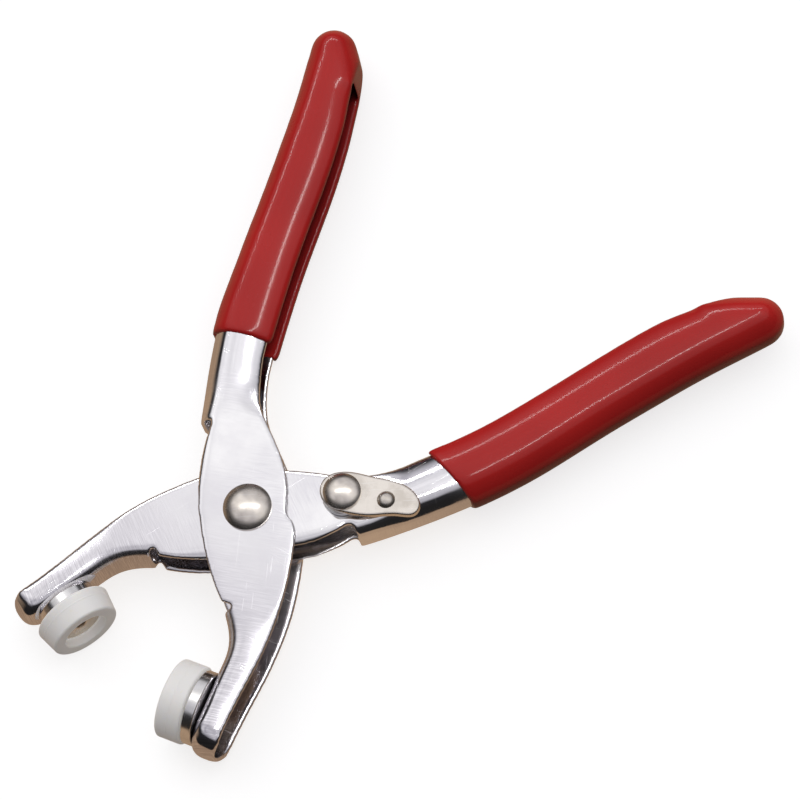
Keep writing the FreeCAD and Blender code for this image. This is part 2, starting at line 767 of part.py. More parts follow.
wo, wi, t = val("outer_width"), val("inner_width"), val("sheet")
head_z = wo / 2
wash = val("back_washer_thick")
pivot_rivet = dome("pivot_rivet", "pivot_head_radius", "pivot_head_height", head_z, "dims.outer_width / 2",
                   "pivot_radius", -wo / 2 - wash, "-dims.outer_width / 2 - dims.back_washer_thick",
                   ("pivot_tail_radius", "pivot_tail_height"))
finish_body(pivot_rivet)
back_washer = simple_ring("pivot_back_washer", val("back_washer_radius"), "dims.back_washer_radius",
                          val("pivot_radius"), "dims.pivot_radius",
                          -wo / 2 - wash, "-dims.outer_width / 2 - dims.back_washer_thick",
                          -wo / 2, "-dims.outer_width / 2", edge="0.2")
finish_body(back_washer)
bush_in = val("pivot_radius") + val("pivot_play")
pivot_bush = simple_ring("pivot_bush", val("bush_radius"), "dims.bush_radius",
                         bush_in, "dims.pivot_radius + dims.pivot_play",
                         -wi / 2 + t, "-dims.inner_width / 2 + dims.sheet",
                         wi / 2 - t, "dims.inner_width / 2 - dims.sheet")
finish_body(pivot_bush)
NODES += [pivot_rivet, back_washer, pivot_bush]


# ---------------------------------------------------------------- dies
def die_place(side):
    direction = V(side * DIE_DIR.x, DIE_DIR.y, 0)
    rot = FreeCAD.Rotation(V(0, 0, 1), direction)
    return FreeCAD.Placement(V(side * DIE_FOOT.x, DIE_FOOT.y, val("mid_height")), rot)


def build_die(word, side, collar_alias, ring_face, ring_back):
    place = die_place(side)
    hc, hr = val("collar_height"), val("ring_height")
    rc, rsp, hsp = val(collar_alias), val("spigot_radius"), val("spigot_height")
    rt = val("post_tail_radius")
    collar = turned(word + "_die_collar", [
        (rt, 0.0, "dims.post_tail_radius", None), (rc, 0.0, "dims." + collar_alias, None),
        (rc, hc, "dims." + collar_alias, "dims.collar_height"), (rsp, hc, "dims.spigot_radius", "dims.collar_height"),
        (rsp, hc + hsp, "dims.spigot_radius", "dims.collar_height + dims.spigot_height"),
        (rt, hc + hsp, "dims.post_tail_radius", "dims.collar_height + dims.spigot_height")], place)
    soften(collar, word + "_collar_edge", "0.35",
           lambda e: ring_edge(rc, 0.0)(e) or ring_edge(rc, hc)(e))
    rb, rf, bore = val(ring_back), val(ring_face), val("ring_bore_radius")
    step = hc + hr - val("post_recess")
    step_e = "dims.collar_height + dims.ring_height - dims.post_recess"
    seat, seat_e = val("post_radius") + val("post_play"), "dims.post_radius + dims.post_play"
    ring = turned(word + "_die_ring", [
        (seat, hc + hsp, seat_e, "dims.collar_height + dims.spigot_height"),
        (rsp, hc + hsp, "dims.spigot_radius", "dims.collar_height + dims.spigot_height"),
        (rsp, hc, "dims.spigot_radius", "dims.collar_height"),
        (rb, hc, "dims." + ring_back, "dims.collar_height"),
        (rf, hc + hr, "dims." + ring_face, "dims.collar_height + dims.ring_height"),
        (bore, hc + hr, "dims.ring_bore_radius", "dims.collar_height + dims.ring_height"),
        (bore, step, "dims.ring_bore_radius", step_e), (seat, step, seat_e, step_e)], place)
    soften(ring, word + "_ring_edge", "0.55",
           lambda e: ring_edge(rb, hc)(e) or ring_edge(rf, hc + hr)(e))
    soften(ring, word + "_ring_mouth", "0.3", ring_edge(bore, hc + hr))
    rp, eye, rec = val("post_radius"), val("post_eye_radius"), val("post_recess")
    top = hc + hr - rec
    base = hc + hsp
    low = -val("sheet") - val("fixing_thick")
    he = top - 1.6
    top_e = "dims.collar_height + dims.ring_height - dims.post_recess"
    base_e = "dims.collar_height + dims.spigot_height"
    low_e = "-dims.sheet - dims.fixing_thick"
    post = turned(word + "_die_post", [
        (0.0, he, None, top_e + " - 1.6"), (eye, he, "dims.post_eye_radius", top_e + " - 1.6"),
        (eye, top, "dims.post_eye_radius", top_e), (rp, top, "dims.post_radius", top_e),
        (rp, base, "dims.post_radius", base_e), (rt, base, "dims.post_tail_radius", base_e),
        (rt, low, "dims.post_tail_radius", low_e), (rt + 0.6, low, "dims.post_tail_radius + 0.6", low_e),
        (rt + 0.3, low - 0.7, "dims.post_tail_radius + 0.3", low_e + " - 0.7"),
        (0.0, low - 0.7, None, low_e + " - 0.7")], place)
    soften(post, word + "_post_edge", "0.25", lambda e: ring_edge(rp, top)(e) or ring_edge(eye, top)(e))
    fix = turned(word + "_die_fixing", [
        (rt, low, "dims.post_tail_radius", low_e), (val("fixing_radius"), low, "dims.fixing_radius", low_e),
        (val("fixing_radius"), -val("sheet"), "dims.fixing_radius", "-dims.sheet"),
        (rt, -val("sheet"), "dims.post_tail_radius", "-dims.sheet")], place)
    return [collar, ring, post, fix]


NODES += build_die("upper", 1, "upper_collar_radius", "upper_ring_face_radius", "upper_ring_back_radius")
NODES += build_die("lower", -1, "lower_collar_radius", "lower_ring_radius", "lower_ring_radius")

# ---------------------------------------------------------------- lock plate
lx, ly = val("latch_x"), val("latch_y")
z0 = wi / 2
z1 = z0 + val("friction_thick")
z2 = z1 + val("spacer_thick")
z3 = z2 + val("latch_play")
z4 = z3 + val("latch_thick")
z5 = z4 + val("latch_play")
z0e = "dims.inner_width / 2"
z1e = z0e + " + dims.friction_thick"
z2e = z1e + " + dims.spacer_thick"
z5e = z2e + " + dims.latch_thick + 2 * dims.latch_play"


def at_latch(b):
    b.setExpression("Placement.Base.x", "dims.latch_x")
    b.setExpression("Placement.Base.y", "dims.latch_y")
    b.setExpression("Placement.Base.z", "dims.mid_height")
    doc.recompute()


friction = simple_ring("latch_friction_washer", val("spacer_radius") - 0.5, "dims.spacer_radius - 0.5",
                       val("latch_rivet_radius"), "dims.latch_rivet_radius", z0, z0e, z1, z1e)
at_latch(friction)
spacer = simple_ring("latch_spacer", val("spacer_radius"), "dims.spacer_radius",
                     val("latch_rivet_radius"), "dims.latch_rivet_radius", z1, z1e, z2, z2e, edge="0.15")
at_latch(spacer)
DIMS_TAIL = ("latch_tail_radius", "latch_tail_height")
latch_rivet = dome("latch_rivet", "latch_head_radius", "latch_head_height", z5, z5e, "latch_rivet_radius",
                   wi / 2 - t, "dims.inner_width / 2 - dims.sheet", DIMS_TAIL)
at_latch(latch_rivet)

lever = new_body("latch_lever")
LEVER = [(29.75, 20.3), (29.1, 22.0), (26.4, 23.3), (22.6, 23.0), (16.9, 20.6), (11.6, 17.9), (9.4, 14.2),
         (10.6, 11.3), (14.0, 10.1), (18.3, 11.3), (22.2, 13.5), (26.9, 17.3)]
loop = Part.BSplineCurve()
loop.interpolate(Points=[V(p[0] - lx, p[1] - ly, 0) for p in LEVER], PeriodicFlag=True)
first, last = loop.FirstParameter, loop.LastParameter
half_a, half_b = loop.copy(), loop.copy()
half_a.segment(first, (first + last) / 2)
half_b.segment((first + last) / 2, last)
s = new_sketch(lever, "latch_outline")
s.AttachmentOffset = FreeCAD.Placement(V(0, 0, z3), FreeCAD.Rotation())
s.setExpression("AttachmentOffset.Base.z", z2e + " + dims.latch_play")
add_chain(s, [half_a, half_b])
f = check(pad(lever, "latch_plate", s, "dims.latch_thick"))
lever.Tip = f
soften(lever, "latch_rolled_edge", "0.55",
       lambda e: abs(e.Vertexes[0].Point.z - z4) < 0.01 and abs(e.Vertexes[-1].Point.z - z4) < 0.01)
soften(lever, "latch_lower_edge", "0.25",
       lambda e: abs(e.Vertexes[0].Point.z - z3) < 0.01 and abs(e.Vertexes[-1].Point.z - z3) < 0.01)
s = circle_sketch(lever, "latch_hole_circle", 0, 0, "dims.latch_rivet_radius + dims.latch_play")
f = pocket(lever, "latch_hole", s, "dims.outer_width", reverse=True)
check(f)
lever.Tip = f
# raised thumb dimple
nx, ny = 22.9 - lx, 18.35 - ly
s = new_sketch(lever, "latch_dimple_profile", "XZ_Plane",
               FreeCAD.Placement(V(nx, 0, -ny), FreeCAD.Rotation()))
rd, hd = 1.9, 0.95
ball = (rd * rd + hd * hd) / (2 * hd)
zc = z4 + hd - ball
a0 = math.atan2(z4 - zc, rd)
s.addGeometry(Part.LineSegment(V(0, z4 + hd, 0), V(0, z4 - 0.5, 0)), False)
s.addGeometry(Part.LineSegment(V(0, z4 - 0.5, 0), V(rd, z4 - 0.5, 0)), False)
s.addGeometry(Part.LineSegment(V(rd, z4 - 0.5, 0), V(rd, z4, 0)), False)
s.addGeometry(Part.ArcOfCircle(Part.Circle(V(0, zc, 0), V(0, 0, 1), ball), a0, math.pi / 2), False)
join_ends(s, 4)
f = revolve(lever, "latch_dimple", s)
check(f)
lever.Tip = f
at_latch(lever)
NODES += [lever, latch_rivet, spacer, friction]

# ---------------------------------------------------------------- return spring
# Wire path: leg in the outer handle, three and a quarter turns round the bush,
# leg in the inner handle. The path climbs as it turns, so its pipe is made in
# code from the sheet's sizes, in short straight lengths mitred to each other.
wire, rm = val("spring_wire") / 2, val("spring_radius")
leg = V(24.9, 17.6, 0)
phi = math.atan2(leg.y, leg.x)
half = math.acos(rm / leg.Length)
th1 = phi - half + 2 * math.pi * 4
th0 = math.pi - (phi - half)
turn = th1 - th0
pitch = 1.25
zs = -pitch * turn / (4 * math.pi)
n = int(round(turn / math.radians(20)))
pts = [V(-leg.x, leg.y, zs)]
for k in range(n + 1):
    a = th0 + turn * k / n
    pts.append(V(rm * math.cos(a), rm * math.sin(a), zs - 2 * zs * k / n))
pts.append(V(leg.x, leg.y, -zs))
path = Part.makePolygon(pts)
section = Part.Wire([Part.Circle(pts[0], (pts[1] - pts[0]).normalize(), wire).toShape()])
coil = path.makePipeShell([section], True, False, 1)
want = math.pi * wire * wire * path.Length
if abs(coil.Volume - want) > 0.01 * want:
    raise RuntimeError("spring volume %.1f, expected %.1f" % (coil.Volume, want))
spring = doc.addObject("Part::Feature", "return_spring")
spring.Label = "return_spring"
spring.Shape = coil
spring.Placement = FreeCAD.Placement(V(0, 0, val("mid_height")), FreeCAD.Rotation())
NODES.append(spring)

# ---------------------------------------------------------------- write out
doc.recompute()
for o in doc.Objects:
    bad = [x for x in o.State if x in ("Invalid", "Error")]
    if bad:
        raise RuntimeError("%s is %s" % (o.Name, bad))
for o in NODES:
    if o.Shape.isNull() or not o.Shape.isValid() or o.Shape.Volume <= 0:
        raise RuntimeError("bad shape: " + o.Label)
for o in NODES:
    o.Shape.exportStep("parts/%s.step" % o.Label)
    bb = o.Shape.BoundBox
    print("%-24s %8.1f mm3  %d solid  x %.2f %.2f  y %.2f %.2f  z %.2f %.2f" % (
        o.Label, o.Shape.Volume, len(o.Shape.Solids), bb.XMin, bb.XMax, bb.YMin, bb.YMax, bb.ZMin, bb.ZMax))
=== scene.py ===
import math

import bmesh
import bpy
from mathutils import Matrix, Vector, kdtree


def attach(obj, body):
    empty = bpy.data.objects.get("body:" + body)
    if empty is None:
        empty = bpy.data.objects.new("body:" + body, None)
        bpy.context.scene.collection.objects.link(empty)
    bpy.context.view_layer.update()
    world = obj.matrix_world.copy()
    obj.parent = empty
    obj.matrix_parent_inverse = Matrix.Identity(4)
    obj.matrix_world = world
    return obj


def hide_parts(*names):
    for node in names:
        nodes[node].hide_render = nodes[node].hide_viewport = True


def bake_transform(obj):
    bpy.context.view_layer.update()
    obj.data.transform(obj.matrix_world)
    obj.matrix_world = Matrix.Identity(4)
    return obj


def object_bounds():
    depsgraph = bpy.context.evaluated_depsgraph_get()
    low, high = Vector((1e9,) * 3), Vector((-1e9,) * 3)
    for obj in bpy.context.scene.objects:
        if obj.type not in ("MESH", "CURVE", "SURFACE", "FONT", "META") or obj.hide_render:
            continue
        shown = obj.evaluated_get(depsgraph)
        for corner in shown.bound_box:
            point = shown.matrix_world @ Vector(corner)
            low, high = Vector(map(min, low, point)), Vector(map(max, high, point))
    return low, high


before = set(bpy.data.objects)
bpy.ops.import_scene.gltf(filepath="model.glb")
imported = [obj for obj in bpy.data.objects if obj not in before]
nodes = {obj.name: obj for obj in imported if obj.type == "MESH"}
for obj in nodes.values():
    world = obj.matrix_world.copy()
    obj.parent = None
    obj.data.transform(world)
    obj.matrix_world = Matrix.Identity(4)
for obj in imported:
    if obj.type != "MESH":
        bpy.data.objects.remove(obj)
cad_lo, cad_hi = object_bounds()
scene = bpy.context.scene

# ------------------------------------------------------------------ camera
RIGHT = Vector((0.76647, 0.62905, -0.12982))
UP = Vector((-0.54860, 0.74626, 0.37703))
BACK = Vector((0.33404, -0.21775, 0.91706))
cam_data = bpy.data.cameras.new("camera")
cam_data.lens = 183.6
cam_data.sensor_width = 36.0
cam_data.clip_start = 0.05
cam_data.clip_end = 20.0
cam = bpy.data.objects.new("camera", cam_data)
scene.collection.objects.link(cam)
cam.matrix_world = Matrix(((RIGHT.x, UP.x, BACK.x, 0.29630),
                           (RIGHT.y, UP.y, BACK.y, -0.14856),
                           (RIGHT.z, UP.z, BACK.z, 0.79947),
                           (0.0, 0.0, 0.0, 1.0)))
scene.camera = cam
scene.view_settings.view_transform = "Standard"
scene.view_settings.look = "None"
scene.view_settings.exposure = 0.0

# horizontal directions of the set: away from the viewer, and to the viewer's right
FAR = Vector((UP.x, UP.y, 0.0)).normalized()
SIDE = Vector((RIGHT.x, RIGHT.y, 0.0)).normalized()


# ------------------------------------------------------------------ node helpers
class Tree:
    def __init__(self, tree):
        self.t = tree
        tree.nodes.clear()

    def node(self, kind, **props):
        n = self.t.nodes.new(kind)
        for k, v in props.items():
            setattr(n, k, v)
        return n

    def put(self, socket, value):
        if isinstance(value, bpy.types.NodeSocket):
            self.t.links.new(value, socket)
        else:
            socket.default_value = value

    def math(self, op, a, b=None, c=None, clamp=False):
        n = self.node("ShaderNodeMath", operation=op, use_clamp=clamp)
        self.put(n.inputs[0], a)
        if b is not None:
            self.put(n.inputs[1], b)
        if c is not None:
            self.put(n.inputs[2], c)
        return n.outputs[0]

    def vmath(self, op, a, b=None, out=0):
        n = self.node("ShaderNodeVectorMath", operation=op)
        self.put(n.inputs[0], a)
        if b is not None:
            self.put(n.inputs[1], b)
        return n.outputs[out]

    def dot(self, a, b):
        n = self.node("ShaderNodeVectorMath", operation="DOT_PRODUCT")
        self.put(n.inputs[0], a)
        self.put(n.inputs[1], b)
        return n.outputs["Value"]

    def xyz(self, x, y, z):
        n = self.node("ShaderNodeCombineXYZ")
        self.put(n.inputs[0], x)
        self.put(n.inputs[1], y)
        self.put(n.inputs[2], z)
        return n.outputs[0]

    def noise(self, vector, scale, detail=3.0, rough=0.55, distortion=0.0):
        n = self.node("ShaderNodeTexNoise", noise_dimensions="3D")
        self.put(n.inputs["Vector"], vector)
        n.inputs["Scale"].default_value = scale
        n.inputs["Detail"].default_value = detail
        n.inputs["Roughness"].default_value = rough
        n.inputs["Distortion"].default_value = distortion
        return n.outputs[0]

    def band(self, value, lo, hi, a=0.0, b=1.0, smooth=True):
        n = self.node("ShaderNodeMapRange", interpolation_type="SMOOTHSTEP" if smooth else "LINEAR", clamp=True) \
            if smooth else self.node("ShaderNodeMapRange", interpolation_type="LINEAR", clamp=True)
        self.put(n.inputs["Value"], value)
        n.inputs["From Min"].default_value = lo
        n.inputs["From Max"].default_value = hi
        n.inputs["To Min"].default_value = a
        n.inputs["To Max"].default_value = b
        return n.outputs[0]

    def mix(self, fac, a, b):
        n = self.node("ShaderNodeMix", data_type="RGBA")
        self.put(n.inputs[0], fac)
        self.put(n.inputs[6], a)
        self.put(n.inputs[7], b)
        return n.outputs[2]

    def bump(self, height, strength, distance, normal=None):
        n = self.node("ShaderNodeBump")
        n.inputs["Strength"].default_value = strength
        n.inputs["Distance"].default_value = distance
        self.put(n.inputs["Height"], height)
        if normal is not None:
            self.put(n.inputs["Normal"], normal)
        return n.outputs[0]


def material(name):
    m = bpy.data.materials.new(name)
    m.use_nodes = True
    t = Tree(m.node_tree)
    out = t.node("ShaderNodeOutputMaterial")
    p = t.node("ShaderNodeBsdfPrincipled")
    t.t.links.new(p.outputs[0], out.inputs[0])
    where = t.node("ShaderNodeTexCoord").outputs["Object"]
    return m, t, p, where


def rgb(r, g, b):
    return (r, g, b, 1.0)


def turned_by(t, where, angle):
    """Coordinates with x along a direction at this angle in the flat plane, y across it."""
    a = math.radians(angle)
    u = t.dot(where, (math.cos(a), math.sin(a), 0.0))
    v = t.dot(where, (-math.sin(a), math.cos(a), 0.0))
    w = t.dot(where, (0.0, 0.0, 1.0))
    return u, v, w


def scratches(t, u, v, w, angle, density, seed):
    """Sparse fine straight scratches; 1 on a scratch."""
    a = math.radians(angle)
    ca, sa = math.cos(a), math.sin(a)
    p = t.math("ADD", t.math("MULTIPLY", u, ca), t.math("MULTIPLY", v, sa))
    q = t.math("SUBTRACT", t.math("MULTIPLY", v, ca), t.math("MULTIPLY", u, sa))
    n = t.noise(t.xyz(t.math("MULTIPLY", p, 130.0), t.math("MULTIPLY_ADD", q, 4200.0, seed),
                      t.math("MULTIPLY", w, 500.0)), 1.0, 0.0, 0.5)
    return t.band(n, density, density + 0.025)


def plated_steel(name, along, tint=(0.90, 0.893, 0.90)):
    """Bright nickel plate over belt-ground pressed steel. along: the arm's own direction."""
    m, t, p, where = material(name)
    u, v, w = turned_by(t, where, along)
    # grind lines run across the arm
    fine = t.noise(t.xyz(t.math("MULTIPLY", u, 4800.0), t.math("MULTIPLY", v, 170.0),
                         t.math("MULTIPLY", w, 220.0)), 1.0, 2.0, 0.6)
    broad = t.noise(t.xyz(t.math("MULTIPLY", u, 1000.0), t.math("MULTIPLY", v, 90.0),
                          t.math("MULTIPLY", w, 120.0)), 1.0, 2.0, 0.5)
    patch = t.band(t.noise(where, 62.0, 2.0, 0.5), 0.38, 0.62)
    s1 = scratches(t, u, v, w, 8.0, 0.80, 3.1)
    s2 = scratches(t, u, v, w, 74.0, 0.815, 17.4)
    scr = t.math("MAXIMUM", s1, s2)
    smudge = t.band(t.noise(where, 190.0, 3.0, 0.6), 0.35, 0.75)
    dull = rgb(tint[0] * 0.80, tint[1] * 0.79, tint[2] * 0.825)
    lines = t.band(fine, 0.35, 0.70)
    colour = t.mix(t.math("MULTIPLY", smudge, 0.35), rgb(*tint), dull)
    colour = t.mix(t.math("MULTIPLY", lines, t.math("MULTIPLY_ADD", patch, 0.55, 0.10)), colour, dull)
    # painted reflection: broad soft patches of darker plate stand in for dark surroundings mirrored in the steel
    slow = t.band(t.noise(where, 26.0, 2.0, 0.45), 0.36, 0.64)
    colour = t.mix(t.math("MULTIPLY", slow, 0.62), colour, rgb(tint[0] * 0.70, tint[1] * 0.69, tint[2] * 0.735))
    # painted reflection: the plate is darkened towards the jaw, and painted bright highlight streaks follow its grind
    # lines there
    jaw_painted_reflection = t.band(t.dot(where, (0.10, 1.0, 0.0)), -0.032, 0.010, 1.0, 0.0)
    colour = t.mix(t.math("MULTIPLY", jaw_painted_reflection, 0.72), colour, rgb(tint[0] * 0.60, tint[1] * 0.58, tint[2] * 0.62))
    colour = t.mix(t.math("MULTIPLY", t.math("MULTIPLY", lines, jaw_painted_reflection), 0.55), colour, rgb(0.93, 0.92, 0.94))
    colour = t.mix(t.math("MULTIPLY", scr, 0.30), colour, rgb(0.96, 0.96, 0.96))
    # painted shade: the plate is darkened nearly to black inside the channels and other recesses
    deep = t.node("ShaderNodeAmbientOcclusion", samples=6, only_local=True)
    deep.inputs["Distance"].default_value = 0.010
    outside_painted_recess_shade = t.band(deep.outputs["AO"], 0.35, 0.85)
    colour = t.mix(outside_painted_recess_shade, rgb(tint[0] * 0.10, tint[1] * 0.095, tint[2] * 0.10), colour)
    t.put(p.inputs["Base Color"], colour)
    p.inputs["Metallic"].default_value = 1.0
    r = t.math("MULTIPLY_ADD", patch, 0.09, 0.085)
    r = t.math("ADD", r, t.math("MULTIPLY", t.math("MULTIPLY", fine, patch), 0.10))
    r = t.math("ADD", r, t.math("MULTIPLY", smudge, 0.04))
    r = t.math("ADD", r, t.math("MULTIPLY", scr, 0.10), clamp=True)
    t.put(p.inputs["Roughness"], r)
    lines = t.math("ADD", t.math("MULTIPLY", fine, t.math("MULTIPLY_ADD", patch, 0.9, 0.15)),
                   t.math("MULTIPLY", broad, 0.9))
    edge = t.node("ShaderNodeBevel", samples=4)
    edge.inputs["Radius"].default_value = 0.00016
    n = t.bump(t.noise(where, 46.0, 1.0, 0.4), 1.0, 0.00042, edge.outputs[0])
    n = t.bump(lines, 1.0, 0.0000065, n)
    n = t.bump(scr, 1.0, 0.0000035, n)
    t.put(p.inputs["Normal"], n)
    return m


def satin_metal(name, tint, rough, dents=0.00002, grain=900.0, dark=0.85):
    """Tumbled or formed metal: soft hammering, fine grain, rubbed patches."""
    m, t, p, where = material(name)
    soft = t.noise(where, 420.0, 2.0, 0.5)
    fine = t.noise(where, grain * 4.0, 2.0, 0.6)
    smudge = t.band(t.noise(where, 260.0, 3.0, 0.6), 0.35, 0.72)
    u, v, w = turned_by(t, where, 30.0)
    scr = scratches(t, u, v, w, 10.0, 0.735, 7.7)
    colour = t.mix(smudge, rgb(*tint), rgb(tint[0] * dark, tint[1] * dark * 0.985, tint[2] * dark * 0.96))
    colour = t.mix(t.math("MULTIPLY", scr, 0.3), colour, rgb(0.9, 0.89, 0.87))
    t.put(p.inputs["Base Color"], colour)
    p.inputs["Metallic"].default_value = 1.0
    r = t.math("ADD", t.math("MULTIPLY_ADD", smudge, 0.09, rough), t.math("MULTIPLY", fine, 0.08))
    t.put(p.inputs["Roughness"], r)
    n = t.bump(soft, 1.0, dents)
    n = t.bump(fine, 1.0, 0.0000016, n)
    t.put(p.inputs["Normal"], n)
    return m


def turned_metal(name, tint, rough, foot, axis, lines=0.0000035):
    """Lathe-turned metal: rings about the axis through foot."""
    m, t, p, where = material(name)
    rel = t.vmath("SUBTRACT", where, tuple(foot))
    h = t.dot(rel, tuple(axis))
    ax = t.node("ShaderNodeVectorMath", operation="SCALE")
    ax.inputs[0].default_value = tuple(axis)
    t.put(ax.inputs["Scale"], h)
    radial = t.vmath("LENGTH", t.vmath("SUBTRACT", rel, ax.outputs[0]), out=1)
    ring = t.noise(t.xyz(t.math("MULTIPLY", h, 6500.0), t.math("MULTIPLY", radial, 6500.0), 0.0), 1.0, 2.0, 0.6)
    smudge = t.band(t.noise(where, 300.0, 3.0, 0.6), 0.35, 0.72)
    colour = t.mix(smudge, rgb(*tint), rgb(tint[0] * 0.88, tint[1] * 0.87, tint[2] * 0.85))
    t.put(p.inputs["Base Color"], colour)
    p.inputs["Metallic"].default_value = 1.0
    r = t.math("ADD", t.math("MULTIPLY_ADD", ring, 0.12, rough), t.math("MULTIPLY", smudge, 0.06))
    t.put(p.inputs["Roughness"], r)
    t.put(p.inputs["Normal"], t.bump(ring, 1.0, lines))
    return m


def vinyl(name):
    """Dipped vinyl coat: deep red, glossy, with slow flow waves and a little dust."""
    m, t, p, where = material(name)
    flow = t.noise(where, 38.0, 2.0, 0.5)
    wave = t.noise(where, 150.0, 2.0, 0.5)
    peel = t.noise(where, 1500.0, 2.0, 0.5)
    tone = t.band(flow, 0.3, 0.7)
    colour = t.mix(tone, rgb(0.440, 0.0180, 0.0165), rgb(0.375, 0.0155, 0.0145))
    speck = t.band(t.noise(where, 2600.0, 1.0, 0.5), 0.71, 0.77)
    colour = t.mix(t.math("MULTIPLY", speck, 0.25), colour, rgb(0.47, 0.05, 0.05))
    # painted shade: the red is darkened inside the channels and other recesses
    deep = t.node("ShaderNodeAmbientOcclusion", samples=6, only_local=True)
    deep.inputs["Distance"].default_value = 0.012
    colour = t.mix(t.band(deep.outputs["AO"], 0.45, 0.92), rgb(0.105, 0.0065, 0.0075), colour)
    t.put(p.inputs["Base Color"], colour)
    rub = t.band(t.noise(where, 90.0, 4.0, 0.65), 0.45, 0.75)
    t.put(p.inputs["Roughness"], t.math("ADD", t.math("MULTIPLY_ADD", rub, 0.10, 0.20), t.math("MULTIPLY", peel, 0.05)))
    p.inputs["Specular IOR Level"].default_value = 0.10
    p.inputs["IOR"].default_value = 1.5
    up = t.dot(t.node("ShaderNodeNewGeometry").outputs["Normal"], (0.0, 0.0, 1.0))
    t.put(p.inputs["Coat Weight"], t.band(up, 0.0, 0.5, 0.03, 0.30))
    p.inputs["Coat Roughness"].default_value = 0.10
    n = t.bump(flow, 1.0, 0.00020)
    n = t.bump(wave, 1.0, 0.00004, n)
    n = t.bump(peel, 1.0, 0.0000018, n)
    t.put(p.inputs["Normal"], n)
    return m


def nylon(name, foot, axis, parting):
    """Turned off-white nylon: satin, slightly translucent, faint tool rings and a parting line."""
    m, t, p, where = material(name)
    rel = t.vmath("SUBTRACT", where, tuple(foot))
    h = t.dot(rel, tuple(axis))
    ax = t.node("ShaderNodeVectorMath", operation="SCALE")
    ax.inputs[0].default_value = tuple(axis)
    t.put(ax.inputs["Scale"], h)
    radial = t.vmath("LENGTH", t.vmath("SUBTRACT", rel, ax.outputs[0]), out=1)
    ring = t.noise(t.xyz(t.math("MULTIPLY", h, 3600.0), t.math("MULTIPLY", radial, 3600.0), 0.0), 1.0, 2.0, 0.6)
    cloud = t.band(t.noise(where, 180.0, 3.0, 0.55), 0.3, 0.75)
    grime = t.band(t.noise(where, 520.0, 4.0, 0.65), 0.60, 0.80)
    colour = t.mix(cloud, rgb(0.93, 0.92, 0.895), rgb(0.885, 0.87, 0.84))
    colour = t.mix(t.math("MULTIPLY", grime, 0.25), colour, rgb(0.52, 0.47, 0.40))
    t.put(p.inputs["Base Color"], colour)
    t.put(p.inputs["Roughness"], t.math("ADD", t.math("MULTIPLY_ADD", ring, 0.12, 0.34), t.math("MULTIPLY", cloud, 0.06)))
    p.inputs["Subsurface Weight"].default_value = 0.25
    # painted glow: a faint warm emission brightens the nylon though it is no lamp
    p.inputs["Emission Color"].default_value = rgb(1.0, 0.975, 0.94)
    p.inputs["Emission Strength"].default_value = 0.15
    p.inputs["Subsurface Radius"].default_value = (0.0014, 0.0012, 0.0009)
    p.inputs["Subsurface Scale"].default_value = 1.0
    p.inputs["IOR"].default_value = 1.5
    seam = t.math("SUBTRACT", h, parting)
    seam = t.math("ABSOLUTE", seam)
    seam = t.band(seam, 0.00006, 0.00022, 1.0, 0.0)
    n = t.bump(t.noise(where, 900.0, 2.0, 0.5), 1.0, 0.000008)
    n = t.bump(ring, 1.0, 0.0000045, n)
    n = t.bump(seam, 1.0, 0.00004, n)
    t.put(p.inputs["Normal"], n)
    return m


# ------------------------------------------------------------------ materials on the CAD pieces
A = math.radians(16.05)
FOOT_U = (-0.01972, -0.03813, 0.0085)
FOOT_L = (0.01972, -0.03813, 0.0085)
AXIS_U = (math.cos(A), -math.sin(A), 0.0)
AXIS_L = (-math.cos(A), -math.sin(A), 0.0)

steel_outer = plated_steel("steel_outer", 116.0)
steel_inner = plated_steel("steel_inner", 62.0)
rivet = satin_metal("rivet_nickel", (0.80, 0.745, 0.68), 0.17, 0.000022)
latch = satin_metal("latch_nickel", (0.80, 0.75, 0.69), 0.20, 0.000014)
zinc = satin_metal("washer_zinc", (0.66, 0.66, 0.67), 0.27, 0.000006)
wire = satin_metal("spring_wire", (0.52, 0.52, 0.54), 0.22, 0.000004)
red = vinyl("red_vinyl")

USE = {
    "outer_arm": steel_outer, "inner_arm": steel_inner, "outer_grip": red, "inner_grip": red,
    "pivot_rivet": rivet, "pivot_back_washer": zinc, "pivot_bush": zinc, "return_spring": wire,
    "upper_die_collar": turned_metal("collar_upper", (0.84, 0.835, 0.83), 0.12, FOOT_U, AXIS_U),
    "upper_die_ring": nylon("nylon_upper", FOOT_U, AXIS_U, 0.0046),
    "upper_die_post": turned_metal("post_upper", (0.74, 0.665, 0.57), 0.20, FOOT_U, AXIS_U),
    "upper_die_fixing": turned_metal("fixing_upper", (0.66, 0.65, 0.64), 0.25, FOOT_U, AXIS_U),
    "lower_die_collar": turned_metal("collar_lower", (0.84, 0.835, 0.83), 0.12, FOOT_L, AXIS_L),
    "lower_die_ring": nylon("nylon_lower", FOOT_L, AXIS_L, 0.0054),
    "lower_die_post": turned_metal("post_lower", (0.74, 0.665, 0.57), 0.20, FOOT_L, AXIS_L),
    "lower_die_fixing": turned_metal("fixing_lower", (0.66, 0.65, 0.64), 0.25, FOOT_L, AXIS_L),
    "latch_lever": latch, "latch_rivet": rivet, "latch_spacer": zinc, "latch_friction_washer": zinc,
}
for name, m in USE.items():
    o = nodes[name]
    if not o.material_slots:
        o.data.materials.append(m)
    for s in o.material_slots:
        s.material = m

# ------------------------------------------------------------------ pressed arms and dipped grips, as soft skins
def step(v, lo, hi):
    k = min(max((v - lo) / (hi - lo), 0.0), 1.0)
    return k * k * (3.0 - 2.0 * k)


